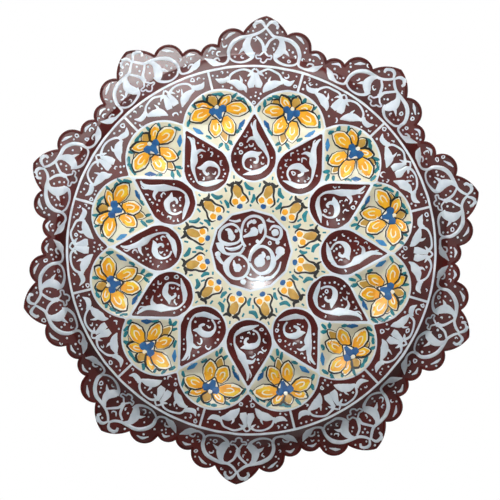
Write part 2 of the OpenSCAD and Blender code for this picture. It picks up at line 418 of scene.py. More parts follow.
class Canvas:
    """Brushwork of one field, drawn in the field's own frame and laid on the relief."""

    # Share of the half width up to which a stroke's top is domed, and the power of the dome.
    DOMED = 0.92
    DOME_POWER = 2.5
    # Half width from which a stroke stands at its full height, and the least half width, in mm.
    FULL_HALF = 0.6
    THINNEST = 0.04
    # Unevenness of a stroke's width and of a dab's radius, as shares.
    WIDTH_SHAKE = 0.1
    DAB_SHAKE = 0.06
    # Radius in mm from which a dab has more sides and rings.
    LARGE_DAB = 1.2
    # Half width of a hook along its length, and its radius at the end, as shares.
    HOOK = (0.5, 1.0, 1.0, 0.8, 0.6, 0.3)
    HOOK_END = 0.7
    # Distance between points along a small mark, in mm.
    FINE = 0.6
    FILLERS = Fillers()

    def __init__(self, name: str, relief: Relief, turn: float = 0.0, seed: int = 1,
                 mirror: bool = False, shake: float = 0.2, weight: float = 1.0) -> None:
        """Starts empty.

        Args:
            name: Name of the piece.
            relief: Front of the plate.
            turn: Turn of the field's axis from straight up, degrees anticlockwise.
            seed: Seed of the hand's unevenness.
            mirror: Whether the field is drawn left for right.
            shake: Unevenness of the drawn points in mm.
            weight: Width of its strokes over the drawn width.
        """
        self.name = name
        self.relief = relief
        self.turn = math.radians(turn)
        self.side = -1 if mirror else 1
        self.rng = np.random.default_rng(seed)
        self.shake = shake
        self.weight = weight
        self.points: list[np.ndarray] = []
        self.faces: list[tuple[int, ...]] = []
        self.paints: list[Finish] = []
        self.taken: list[np.ndarray] = []
        self.count = 0

    def placed(self, points: np.ndarray) -> np.ndarray:
        """Turns field points to the plate plane.

        Args:
            points: Points of the field, last axis x and y.

        Returns:
            The same points on the plate.
        """
        x, y = points[..., 0] * self.side, points[..., 1]
        c, s = math.cos(self.turn), math.sin(self.turn)
        return np.stack([x * c - y * s, x * s + y * c], -1)

    def add(self, points: np.ndarray, faces: list[tuple[int, ...]], paint: Finish) -> None:
        """Takes in a closed solid.

        Args:
            points: Its points as x, y and distance towards the viewer.
            faces: Its faces by point number.
            paint: Its finish.
        """
        turned = self.side < 0
        self.points.append(points)
        for face in faces:
            shifted = tuple(i + self.count for i in face)
            self.faces.append(shifted[::-1] if turned else shifted)
        self.paints.extend([paint] * len(faces))
        self.count += len(points)

    def uneven(self, points: Sequence[Point]) -> np.ndarray:
        """Points as an unsteady hand sets them."""
        p = np.array(points, float)
        return p + self.rng.normal(0, 1, p.shape) * self.shake

    def stroke(self, points: Sequence[Point], halves: Sequence[float], paint: Finish = Finish.WHITE,
               brush: Brush = Brush()) -> None:
        """Paints a stroke along a smooth curve.

        Args:
            points: Points that the stroke passes through.
            halves: Half width in mm at each point, or one for all.
            paint: Finish of the stroke.
            brush: How it lies on the plate.
        """
        curve = through(self.uneven(points), brush.spacing, brush.closed)
        widths = np.array(list(halves) if len(halves) > 1 else list(halves) * len(points), float)
        uneven = self.rng.uniform(1 - self.WIDTH_SHAKE, 1 + self.WIDTH_SHAKE, len(widths))
        widths = widths * uneven * self.weight
        if brush.closed:
            widths = np.append(widths, widths[0])
        half = np.maximum(np.interp(curve[:, 2], np.arange(len(widths)), widths), self.THINNEST)
        self.ribbon(curve[:, :2], half, paint, brush)

    def ribbon(self, spine: np.ndarray, half: np.ndarray, paint: Finish, brush: Brush) -> None:
        """Lays a domed closed band along a sampled spine.

        Args:
            spine: Samples along its middle.
            half: Half width in mm at each sample.
            paint: Its finish.
            brush: How it lies on the plate.
        """
        self.taken.append(np.column_stack([spine, half]))
        across = np.concatenate([[-1.0], np.linspace(-self.DOMED, self.DOMED, brush.columns), [1.0]])
        n, k = len(spine), len(across)
        grid = spine[:, None] + sides_of(spine, brush.closed)[:, None] * (half[:, None] * across)[..., None]
        grid = self.placed(grid)
        base = self.relief.out(grid)
        if brush.bridge:
            base = np.repeat(base.max(1, keepdims=True), k, 1)
        dome = np.sqrt(1 - np.abs(across) ** self.DOME_POWER)
        height = brush.rise * np.minimum(1, half / self.FULL_HALF)
        top = base + brush.lift + height[:, None] * dome
        top[:, [0, -1]] = base[:, [0, -1]] - brush.sink
        points = [np.dstack([grid, top]).reshape(-1, 3)]
        over = np.arange(n * k).reshape(n, k)
        under = over[:, [0, -1]]
        if brush.columns > Brush.columns:
            points.append(np.dstack([grid[:, 1:-1], base[:, 1:-1] - brush.sink]).reshape(-1, 3))
            under = over.copy()
            under[:, 1:-1] = n * k + np.arange(n * (k - 2)).reshape(n, k - 2)
        faces = self.quads(over, brush.closed, False) + self.quads(under, brush.closed, True)
        if not brush.closed:
            faces.append(tuple(over[0]) + tuple(under[0][-2:0:-1]))
            faces.append(tuple(over[-1][::-1]) + tuple(under[-1][1:-1]))
        self.add(np.vstack(points), faces, paint)

    @staticmethod
    def quads(index: np.ndarray, closed: bool, flip: bool) -> list[tuple[int, ...]]:
        """Spans a grid of points with faces.

        Args:
            index: Point numbers of the grid.
            closed: Whether the last row meets the first.
            flip: Whether the faces look the other way.

        Returns:
            Faces by point number.
        """
        ahead = np.roll(index, -1, 0) if closed else index[1:]
        here = index if closed else index[:-1]
        cells = np.stack([here[:, :-1], ahead[:, :-1], ahead[:, 1:], here[:, 1:]], -1).reshape(-1, 4)
        return [tuple(c) for c in (cells[:, ::-1] if flip else cells).tolist()]

    def take(self, at: Point, radius: float) -> None:
        """Marks a round place as painted."""
        self.taken.append(np.array([[at[0], at[1], radius]]))

    def dot(self, at: Point, radius: float, paint: Finish = Finish.WHITE, brush: Brush = Brush(),
            stretch: float = 1.0) -> None:
        """Paints a round or oval dab.

        Args:
            at: Its middle.
            radius: Its radius in mm.
            paint: Its finish.
            brush: How it lies on the plate.
            stretch: Its height over its width.
        """
        self.take(at, radius)
        large = radius >= self.LARGE_DAB
        sides = 16 if large else 10
        rings = [1.0, 0.85, 0.5] if large else [1.0, 0.72]
        angle = np.linspace(0, 2 * math.pi, sides, endpoint=False)
        wobble = radius * (1 + self.DAB_SHAKE * self.rng.normal(0, 1, sides))
        loops = []
        for share in rings:
            u, v = np.cos(angle) * wobble * share, np.sin(angle) * wobble * share * stretch
            loops.append(np.stack([at[0] + u, at[1] + v], 1))
        flat = self.placed(np.vstack(loops + [np.array([at])]))
        base = self.relief.out(flat)
        tops = [brush.lift + brush.rise * math.sqrt(1 - share ** 2) for share in rings[1:]]
        high = np.append(np.repeat([-brush.sink] + tops, sides), brush.lift + brush.rise)
        points = np.column_stack([flat, base + high])
        faces = []
        last = len(points) - 1
        for j in range(sides):
            m = (j + 1) % sides
            for ring in range(len(rings) - 1):
                low, up = ring * sides, (ring + 1) * sides
                faces.append((low + j, low + m, up + m, up + j))
            inner = (len(rings) - 1) * sides
            faces.append((inner + j, inner + m, last))
        faces.append(tuple(range(sides))[::-1])
        self.add(points, faces, paint)

    def loop(self, at: Point, radius: float, half: float) -> None:
        """Paints a small ring.

        Args:
            at: Its middle.
            radius: Its radius in mm.
            half: Half width of its line in mm.
        """
        points = [(at[0] + radius * math.cos(a), at[1] + radius * math.sin(a))
                  for a in np.linspace(0, 2 * math.pi, 7)[:-1]]
        self.stroke(points, [half], brush=Brush(closed=True, spacing=self.FINE))
        self.take(at, radius)

    def curl(self, at: Point, radius: float, start: float, sweep: float, half: float) -> None:
        """Paints a small hook, thick at its start.

        Args:
            at: Its middle.
            radius: Its radius in mm.
            start: Where it starts, degrees anticlockwise from the right.
            sweep: How far it runs round, degrees anticlockwise.
            half: Its greatest half width in mm.
        """
        angles = np.radians(start + np.linspace(0, sweep, len(self.HOOK)))
        shrink = np.linspace(1.0, self.HOOK_END, len(self.HOOK))
        points = [(at[0] + radius * k * math.cos(a), at[1] + radius * k * math.sin(a))
                  for a, k in zip(angles, shrink)]
        self.stroke(points, [half * share for share in self.HOOK], brush=Brush(spacing=self.FINE))
        self.take(at, radius)

    def clear(self, at: Point) -> float:
        """Measures the free distance round a point.

        Args:
            at: The point.

        Returns:
            Distance in mm to the nearest paint.
        """
        all_taken = np.vstack(self.taken)
        away = np.hypot(all_taken[:, 0] - at[0], all_taken[:, 1] - at[1]) - all_taken[:, 2]
        return float(away.min())

    def scatter(self, inside: Callable[[float, float], bool], box: Box, tries: int) -> None:
        """Fills free places with dots, rings and hooks.

        Args:
            inside: Whether a point lies in the field.
            box: Lowest and highest x, then lowest and highest y to try.
            tries: Number of places tried.
        """
        f = self.FILLERS
        beside = ((f.hook_reach, 0.0), (-f.hook_reach, 0.0), (0.0, f.hook_reach), (0.0, -f.hook_reach))
        for _ in range(tries):
            x, y = self.rng.uniform(box[0], box[1]), self.rng.uniform(box[2], box[3])
            kind = self.rng.uniform()
            start, sweep = self.rng.uniform(0, 360), self.rng.choice([-1, 1]) * self.rng.uniform(*f.sweep)
            if not inside(x, y):
                continue
            free = self.clear((x, y))
            roomy = all(inside(x + u, y + v) for u, v in beside)
            if roomy and free > f.hook_room and kind < f.hook_below:
                radius = min(self.rng.uniform(*f.hook_r), free - f.hook_gap)
                self.curl((x, y), radius, start, sweep, f.hook_half / self.weight)
            elif free > f.ring_room and f.hook_below < kind < f.ring_below:
                self.loop((x, y), self.rng.uniform(*f.ring_r), f.ring_half / self.weight)
            elif free > f.tick_room and kind < f.tick_below:
                self.curl((x, y), f.tick_r, start, sweep, f.tick_half / self.weight)
            elif free > f.dot_room and kind > f.dot_above:
                self.dot((x, y), self.rng.uniform(*f.dot_r))

    def build(self, palette: Palette, slot: str) -> None:
        """Makes the piece, riding on the plate.

        Args:
            palette: Materials.
            slot: Not used.
        """
        p = np.vstack(self.points)
        world = np.column_stack([p[:, 0], -p[:, 2], p[:, 1]]) * MM
        mesh = bpy.data.meshes.new(self.name)
        mesh.from_pydata(world.tolist(), [], self.faces)
        used = sorted(set(self.paints), key=lambda f: f.name)
        for finish in used:
            mesh.materials.append(palette.of(finish))
        mesh.polygons.foreach_set("material_index", [used.index(f) for f in self.paints])
        obj = bpy.data.objects.new(self.name, mesh)
        bpy.context.scene.collection.objects.link(obj)
        finish_mesh(obj)
        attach(obj, "plate")
        LOG.info("%s: %d strokes, %d faces", self.name, len(self.points), len(self.faces))


def finish_mesh(obj: bpy.types.Object) -> None:
    """Turns faces outward and shades a new piece smooth up to its sharp edges.

    Args:
        obj: The new piece.
    """
    sharp = math.radians(60)
    bpy.ops.object.select_all(action="DESELECT")
    bpy.context.view_layer.objects.active = obj
    obj.select_set(True)
    bpy.ops.object.mode_set(mode="EDIT")
    bpy.ops.mesh.select_all(action="SELECT")
    bpy.ops.mesh.normals_make_consistent(inside=False)
    bpy.ops.object.mode_set(mode="OBJECT")
    bpy.ops.object.shade_smooth_by_angle(angle=sharp)


def turned(point: Point, degrees: float) -> Point:
    """Point turned anticlockwise about the origin."""
    c, s = math.cos(math.radians(degrees)), math.sin(math.radians(degrees))
    return (point[0] * c - point[1] * s, point[0] * s + point[1] * c)


def flipped(points: Sequence[Point], side: int) -> list[Point]:
    """Points as drawn on one side of a field's axis."""
    return [(side * a, r) for a, r in points]


@dataclass
class Ornament:
    """Brushwork that repeats round the plate, one canvas to a field.

    Attributes:
        stem: Name of its pieces, before their number.
        slot: Material name passed on to each canvas.
        seed: Seed of the first field's hand.
        count: Number of fields.
        first: Turn of the first field's axis from straight up, degrees anticlockwise.
        mirror_every: Every how many fields one is drawn left for right, or 0 for none.
        weight: Width of its strokes over the drawn width.
        box: Where small marks are tried: lowest and highest x, then y.
        tries: Number of places where they are tried.
    """

    stem: str = "ornament"
    slot: str = "white_enamel"
    seed: int = 0
    count: int = CELLS
    first: float = 0.0
    mirror_every: int = 0
    weight: float = 1.0
    box: Box = (0.0, 0.0, 0.0, 0.0)
    tries: int = 0

    def inside(self, a: float, r: float) -> bool:
        """Whether a small mark may lie at a point of the field, which it may not by default."""
        return False

    def draw(self, canvas: Canvas) -> None:
        """Draws the strokes of one field."""
        raise NotImplementedError

    def build(self, relief: Relief, palette: Palette) -> None:
        """Builds the brushwork of every field.

        Args:
            relief: Front of the plate.
            palette: Materials.
        """
        for i in range(self.count):
            mirror = self.mirror_every > 0 and i % self.mirror_every == 1
            canvas = Canvas(f"{self.stem}_{i + 1:02d}", relief, self.first + 360 / self.count * i,
                            self.seed + i, mirror, weight=self.weight)
            self.draw(canvas)
            canvas.scatter(self.inside, self.box, self.tries)
            canvas.build(palette, self.slot)


@dataclass
class RimOrnament(Ornament):
    """White scrolls on the ten lobes of the rim, with the dark line of the cut edge.

    The large and small scallops are given as radius, distance from the middle and angle from the lobe's axis.
    """

    stem: str = "rim_scrolls"
    seed: int = 100
    count: int = LOBES
    first: float = -2.4
    box: Box = (-38, 38, 118, 148)
    tries: int = 1300
    tip_r: float = 150.0
    tip_arc_r: float = 21.7
    tip_arc_x: float = 5.7
    large: Triple = (9.0, 133.4, 8.8)
    small: Triple = (7.0, 127.4, 15.0)
    valley: float = 1.0
    foot_r: float = 120.5
    half_angle: float = 17.6
    margin: float = 1.6
    edge_inset: float = 0.95
    edge_gap: float = 0.02
    edge_step: float = 0.3

    def circles(self) -> list[Triple]:
        """Places the scallop circles of one lobe.

        Returns:
            Circles as x, y and radius.
        """
        made = []
        for radius, at, angle in (self.large, self.small):
            for side in (-1, 1):
                x, y = turned((0.0, at), side * angle)
                made.append((x, y, radius))
        return made

    def tip_y(self) -> float:
        """Distance from the middle of the plate to the centres of the tip arcs, along the lobe's axis."""
        return self.tip_r - math.sqrt(self.tip_arc_r ** 2 - self.tip_arc_x ** 2)

    def valley_r(self) -> float:
        """Radius of the rim between two lobes."""
        return self.small[1] + self.valley

    def inside(self, a: float, r: float) -> bool:
        """Tells whether a point lies on the flat rim of a lobe, clear of its edges.

        Args:
            a: Distance to the right of the field's axis.
            r: Distance along the axis from the middle of the plate.

        Returns:
            Whether it lies there.
        """
        away = math.hypot(a, r)
        if away < self.foot_r or abs(math.degrees(math.atan2(a, r))) > self.half_angle:
            return False
        if away < self.valley_r() - self.margin:
            return True
        arcs = [math.hypot(a - s * self.tip_arc_x, r - self.tip_y()) for s in (-1, 1)]
        if max(arcs) < self.tip_arc_r - self.margin:
            return True
        return any(math.hypot(a - x, r - y) < c - self.margin for x, y, c in self.circles())

    def outline(self) -> np.ndarray:
        """Follows the cut edge of the rim by angle, moved in by the edge line's inset.

        Returns:
            Points in the rim's frame.
        """
        half, step = math.radians(LOBE_STEP / 2), math.radians(LOBE_STEP)
        points = []
        for angle in np.radians(np.arange(0, 360, self.edge_step)):
            folded = (angle + half) % step - half
            u = np.array([math.sin(folded), math.cos(folded)])
            tips = [self.far(u, s * self.tip_arc_x, self.tip_y(), self.tip_arc_r) for s in (-1, 1)]
            scallops = [self.far(u, x, y, c) for x, y, c in self.circles()]
            away = max(self.valley_r(), min(tips), *scallops) - self.edge_inset
            points.append((away * math.sin(angle), away * math.cos(angle)))
        return np.array(points)

    @staticmethod
    def far(u: np.ndarray, x: float, y: float, radius: float) -> float:
        """How far a ray from the middle runs to the far side of a circle."""
        along, off = u[0] * x + u[1] * y, u[0] * y - u[1] * x
        return along + math.sqrt(radius ** 2 - off ** 2) if abs(off) < radius else 0.0

    def edge(self, relief: Relief, palette: Palette) -> None:
        """Builds the dark rounded line along the cut edge.

        Args:
            relief: Front of the plate.
            palette: Materials.
        """
        canvas = Canvas("rim_edge_line", relief, self.first, seed=5)
        spine = self.outline()
        half = np.full(len(spine), self.edge_inset - self.edge_gap)
        canvas.ribbon(spine, half, Finish.EDGE, Brush(closed=True, rise=0.12, lift=0.02, bridge=True))
        canvas.build(palette, "maroon_enamel")

    def draw(self, canvas: Canvas) -> None:
        """Draws the scrolls of one lobe.

        Args:
            canvas: Canvas of the field.
        """
        for side in (1, -1):
            self.half(canvas, side)
        trefoil = [(0, 127.2), (-2.6, 124.6), (-4.8, 124.4), (-4.4, 122.4), (-2.2, 122.2), (-1.7, 120.6),
                   (0, 119.6), (1.7, 120.6), (2.2, 122.2), (4.4, 122.4), (4.8, 124.4), (2.6, 124.6)]
        canvas.stroke(trefoil, [0.58], brush=Brush(closed=True))
        canvas.dot((0, 128.3), 1.6)

    @staticmethod
    def half(canvas: Canvas, side: int) -> None:
        """Draws the scrolls on one side of a lobe's axis.

        Args:
            canvas: Canvas of the field.
            side: 1 for the right side, -1 for the left.
        """
        canvas.stroke(flipped([(0.2, 142.2), (2.2, 145.5), (5.0, 146.2), (7.4, 144.2), (7.0, 141.8)], side),
                      [0.6, 1.0, 1.3, 1.15, 0.7])
        stem = [(0.2, 142.6), (2.6, 139.8), (6, 137.4), (11, 136.3), (16.5, 134.6), (20.8, 131), (22.8, 126),
                (22.2, 121.8), (22.8, 118.8), (25.6, 117.2), (29, 116.9)]
        canvas.stroke(flipped(stem, side), [0.7, 0.9, 0.95, 1.1, 1.35, 1.35, 1.15, 0.95, 0.8, 0.8, 1.1])
        canvas.stroke(flipped([(27.6, 116.9), (31, 117.4), (34, 118.6), (37.6, 120.6)], side),
                      [0.8, 2.3, 1.9, 0.2], brush=WIDE)
        canvas.stroke(flipped([(31.5, 117.4), (31.4, 120.2), (29.2, 120.9), (27.8, 119.4)], side),
                      [0.8, 0.65, 0.6, 0.4])
        ring = [(21.9, 121.5), (19.5, 119.4), (15.5, 118.8), (11, 119.8), (7.6, 122.6), (6.8, 126.4)]
        canvas.stroke(flipped(ring, side), [0.6, 0.7, 0.75, 0.9, 1.1, 1.3])
        canvas.stroke(flipped([(7.2, 122.5), (8.6, 125.5), (11.2, 129.5), (10.6, 134), (8.0, 136.6)], side),
                      [0.6, 2.4, 3.0, 1.7, 0.5], brush=WIDE)
        canvas.stroke(flipped([(11, 128.6), (13.8, 127.4), (16.2, 125.0)], side), [1.6, 1.1, 0.15])
        canvas.stroke(flipped([(0.3, 128.6), (1, 131.3), (2.8, 134), (6, 136.6)], side),
                      [1.0, 0.95, 0.85, 0.7])
        canvas.stroke(flipped([(19.6, 138.2), (22.6, 136.6), (25.4, 133.4)], side), [0.3, 1.0, 0.3])
        canvas.stroke(flipped([(30.5, 126.4), (33.5, 126.8), (36.2, 124.6)], side), [0.3, 0.95, 0.3])

    def build(self, relief: Relief, palette: Palette) -> None:
        """Builds the brushwork of every lobe, then the line of the cut edge."""
        super().build(relief, palette)
        self.edge(relief, palette)


@dataclass
class BorderOrnament(Ornament):
    """White flower and scrolls in the twelve panels of the dish border.

    The scrolls are drawn for a straight panel, from foot to flat, and bent to the round edge.
    """

    stem: str = "border_scrolls"
    seed: int = 200
    weight: float = 1.2
    box: Box = (-29, 29, 90, 115)
    tries: int = 1000
    edge: float = 116.1
    flat: float = 114.1
    foot: float = 100.0
    petal_at: float = 80.2
    petal_r: float = 24.5
    edge_gap: float = 1.6
    side_gap: float = 2.4
    petal_gap: float = 1.2

    def inside(self, a: float, r: float) -> bool:
        """Tells whether a point lies in a panel, clear of its edges.

        Args:
            a: Distance to the right of the field's axis.
            r: Distance along the axis from the middle of the plate.

        Returns:
            Whether it lies there.
        """
        reach = r * math.tan(math.radians(STEP / 2)) - self.side_gap
        if math.hypot(a, r) > self.edge - self.edge_gap or abs(a) > reach:
            return False
        petals = [turned((0.0, self.petal_at), s * STEP / 2) for s in (-1, 1)]
        return all(math.dist((a, r), at) > self.petal_r + self.petal_gap for at in petals)

    def arched(self, points: Sequence[Point], side: int) -> list[Point]:
        """Bends points of a straight panel to the round edge of the dish.

        Args:
            points: Points of the right side.
            side: 1 for the right side, -1 for the left.

        Returns:
            Points of that side.
        """
        made = []
        for a, r in points:
            lift = math.sqrt(self.edge ** 2 - a * a) - self.flat
            made.append((side * a, r + lift * max(0.0, r - self.foot) / (self.flat - self.foot)))
        return made

    def half(self, canvas: Canvas, side: int) -> None:
        """Draws one side of a panel.

        Args:
            canvas: Canvas of the field.
            side: 1 for the right side, -1 for the left.
        """
        canvas.stroke(self.arched([(0, 113.3), (1.9, 111.7), (0.9, 109.8)], side), [0.45, 0.55, 0.6])
        canvas.stroke(self.arched([(0.9, 110.8), (1.7, 107.6), (2.2, 104.8), (2.3, 102.8)], side),
                      [0.8, 1.5, 2.1, 1.6], brush=WIDE)
        stem = [(2.0, 110.9), (4.6, 112.2), (8.2, 112.8), (12.1, 112.2), (15.2, 110.6), (16.8, 108),
                (16.4, 105.6)]
        canvas.stroke(self.arched(stem, side), [0.9, 0.6, 0.55, 0.55, 0.6, 0.65, 0.8])
        canvas.stroke(self.arched([(2.2, 110.6), (4.0, 109.9), (5.2, 109.0)], side), [0.7, 0.6, 0.15])
        palmette = [(16.6, 106.2), (12.6, 105.4), (9.0, 103.9), (6.6, 102.0), (5.0, 100.2)]
        canvas.stroke(self.arched(palmette, side), [0.7, 2.0, 2.3, 1.4, 0.25], brush=WIDE)
        canvas.stroke(self.arched([(9.6, 104.8), (9.0, 107.2), (10.0, 109.4)], side), [1.2, 0.7, 0.15])
        canvas.stroke(self.arched([(16.9, 108.6), (18.8, 106.9), (22.0, 106.4), (25.0, 108.6)], side),
                      [0.8, 1.4, 1.4, 0.2], brush=WIDE)

    def draw(self, canvas: Canvas) -> None:
        """Draws both sides of a panel."""
        for side in (1, -1):
            self.half(canvas, side)


@dataclass
class TeardropOrnament(Ornament):
    """White scroll in each maroon teardrop cell."""

    stem: str = "teardrop_scroll"
    seed: int = 300
    mirror_every: int = 3
    weight: float = 1.3
    box: Box = (-13, 13, 44, 84)
    tries: int = 900
    head_r: float = 14.0
    head_at: float = 58.5
    tip: float = 86.3
    margin: float = 2.0
    neck: float = 6.0

    def inside(self, a: float, r: float) -> bool:
        """Tells whether a point lies in a teardrop, clear of its edge.

        Args:
            a: Distance to the right of the field's axis.
            r: Distance along the axis from the middle of the plate.

        Returns:
            Whether it lies there.
        """
        if math.hypot(a, r - self.head_at) < self.head_r - self.margin:
            return True
        half = math.asin(self.head_r / (self.tip - self.head_at))
        return r > self.head_at + self.neck and abs(a) < (self.tip - r) * math.tan(half) - self.margin

    def draw(self, canvas: Canvas) -> None:
        """Draws the scroll of one teardrop.

        Args:
            canvas: Canvas of the field.
        """
        stem = [(1.0, 83.0), (0.2, 80.5), (0.4, 76.3), (2.4, 71.4), (4.6, 67.5), (7.4, 63.8), (9.4, 58.6),
                (9.0, 54.0), (6.6, 51.0)]
        canvas.stroke(stem, [0.35, 0.75, 1.1, 1.6, 1.9, 1.0, 0.55, 0.5, 0.6], brush=WIDE)
        canvas.stroke([(-0.4, 75.8), (-2.0, 79.0), (-1.6, 81.0)], [0.4, 0.4, 0.2])
        canvas.stroke([(3.0, 70.6), (0.4, 71.2), (-2.6, 70.8), (-4.6, 68.6)], [1.2, 1.1, 0.7, 0.2])
        canvas.stroke([(8.6, 54.0), (4.6, 50.4), (-1.0, 49.0), (-6.0, 47.6)], [0.6, 1.3, 1.2, 0.2],
                      brush=WIDE)
        spiral = [(5.0, 62.4), (2.0, 61.2), (-2.0, 61.2), (-5.2, 59.2), (-6.4, 56.0), (-5.0, 52.6),
                  (-1.6, 50.6)]
        canvas.stroke(spiral, [0.2, 1.4, 1.6, 1.3, 0.6, 0.5, 0.5], brush=WIDE)
        canvas.stroke([(0.6, 60.6), (2.4, 58.6), (1.8, 56.4), (0.2, 56.0)], [1.0, 0.8, 0.7, 0.5])


@dataclass(frozen=True)
class PetalAxis:
    """Axis of a painted petal, bent to one side, in mm."""

    base: np.ndarray
    along: np.ndarray
    bend: np.ndarray
    half: float

    def point(self, share: float, bent: float, aside: float = 0.0) -> Point:
        """Finds a place in the petal.

        Args:
            share: How far along the axis, as a share.
            bent: Share of the bend there.
            aside: How far to the left, as a share of the half width.

        Returns:
            The place in the field's frame.
        """
        left = np.array([-self.along[1], self.along[0]]) / np.linalg.norm(self.along)
        return tuple(self.base + self.along * share + self.bend * bent + left * self.half * aside)


@dataclass
class PetalOrnament(Ornament):
    """Lotus flower in each cream petal cell, its petals in layers."""

    stem: str = "lotus"
    slot: str = "cream_enamel"
    seed: int = 400
    first: float = STEP / 2
    mirror_every: int = 2
    at: float = 80.2
    first_layer: float = 0.04
    layer_step: float = 0.035
    layer: float = 0.0
    pen_swell: float = 0.45
    base_shake: float = 0.4
    tip_shake: float = 0.6
    dab_shake: float = 0.4
    dab_lean: float = 12.0
    dab_reach: Point = (1.9, 2.8)
    dab_half: Point = (1.1, 1.4)
    dab_end: float = 0.7

    def film(self, over: float, **settings: float) -> Brush:
        """Brush that lays paint a little over the petal drawn last, in mm."""
        return Brush(lift=self.layer + over, **settings)

    def petal(self, canvas: Canvas, base: Point, tip: Point, half: float, bend: float,
              fill: Finish = Finish.GOLD, pen: float = 0.42) -> None:
        """Draws one petal: pale margin, coloured fill, white streak and black outline.

        Args:
            canvas: Canvas of the cell.
            base: Where the petal grows from the flower, from the middle of the cell.
            tip: Its tip.
            half: Its half width in mm.
            bend: Sideways bend as a share of its length.
            fill: Finish of its inside.
            pen: Half width of its outline in mm.
        """
        self.layer += self.layer_step
        b, t = np.array(base) + (0, self.at), np.array(tip) + (0, self.at)
        b, t = b + canvas.rng.normal(0, self.base_shake, 2), t + canvas.rng.normal(0, self.tip_shake, 2)
        along = t - b
        off = np.array([-along[1], along[0]]) * bend
        half *= canvas.rng.uniform(0.95, 1.1)
        bow = ((0.0, 0.0), (0.3, 0.7), (0.6, 1.0), (0.85, 0.6), (1.0, 0.0))
        axis = PetalAxis(b, along, off, half)
        spine = [axis.point(s, k) for s, k in bow]
        shape = [0.4, 0.92, 1.0, 0.6, 0.04]
        inner_bow = ((0.02, 0.1), (0.3, 0.7), (0.6, 1.0), (0.88, 0.5))
        inner = [axis.point(s, k) for s, k in inner_bow]
        shake, canvas.shake = canvas.shake, 0.0
        canvas.stroke(spine, [half * s for s in shape], Finish.PALE,
                      self.film(0.0, columns=5, rise=0.03, spacing=1.6))
        canvas.stroke(inner, [half * s for s in (0.38, 0.84, 0.84, 0.2)], fill,
                      self.film(0.02, columns=5, rise=0.03, spacing=1.6))
        if fill is Finish.GOLD:
            self.wash(canvas, axis)
            self.streak(canvas, axis)
        curve = through(spine, 1.2)
        widths = np.interp(curve[:, 2], range(len(shape)), [half * s for s in shape])
        middle = curve[:, :2]
        edge = sides_of(middle, False) * widths[:, None]
        ring = np.vstack([middle + edge, (middle - edge)[::-1]])
        swell = np.sin(np.linspace(0, 2 * math.pi, len(ring)) + canvas.rng.uniform(0, 6.28))
        canvas.ribbon(ring, pen * (1 + self.pen_swell * swell), Finish.BLACK,
                      self.film(0.02, closed=True, rise=0.08))
        canvas.shake = shake

    def wash(self, canvas: Canvas, axis: PetalAxis) -> None:
        """Draws the yellow on one side of a petal's gold.

        Args:
            canvas: Canvas of the cell.
            axis: Axis of the petal.
        """
        side = canvas.rng.choice([-1, 1])
        marks = ((0.3, 0.3), (0.55, 0.4), (0.8, 0.1))
        points = [axis.point(s, 1.0, side * k) for s, k in marks]
        canvas.stroke(points, [axis.half * k for k in (0.1, 0.36, 0.12)], Finish.YELLOW,
                      self.film(0.04, columns=5, rise=0.03, spacing=1.4))

    def streak(self, canvas: Canvas, axis: PetalAxis) -> None:
        """Draws the white hook inside a petal.

        Args:
            canvas: Canvas of the cell.
            axis: Axis of the petal.
        """
        marks = ((0.22, 0.28), (0.45, 0.34), (0.62, 0.12), (0.52, -0.24), (0.32, -0.22))
        points = [axis.point(s, 0.9, k) for s, k in marks]
        canvas.stroke(points, [0.25, 0.42, 0.46, 0.42, 0.22], Finish.PALE, self.film(0.05, rise=0.05))

    def heart(self, canvas: Canvas) -> None:
        """Draws the cobalt trefoil and the pale lozenge under it.

        Args:
            canvas: Canvas of the field.
        """
        z = self.at
        brush = self.film(0.06, rise=0.06)
        lozenge = [(-4.2, z + 9.0), (-1.6, z + 6.0), (0.4, z + 3.8), (2.6, z + 6.2), (5.0, z + 9.4)]
        canvas.stroke([(0.4, z + 10.0), (0.4, z + 7.4), (0.4, z + 4.2)], [4.0, 2.8, 0.3], Finish.PALE,
                      self.film(0.03, columns=5, rise=0.02))
        canvas.stroke(lozenge, [0.4, 0.5, 0.5, 0.5, 0.4], Finish.BLACK, brush)
        for at, radius in (((-3.2, z + 11.2), 2.6), ((3.6, z + 11.6), 2.7), ((0.3, z + 9.8), 2.7)):
            canvas.dot(at, radius, Finish.COBALT, brush)
        canvas.stroke([(0.4, z + 9.8), (0.6, z + 7.6), (0.7, z + 5.4)], [2.2, 1.9, 1.2], Finish.COBALT, brush)
        canvas.dot((0.2, z + 13.4), 1.4, Finish.PALE, self.film(0.1, rise=0.08))

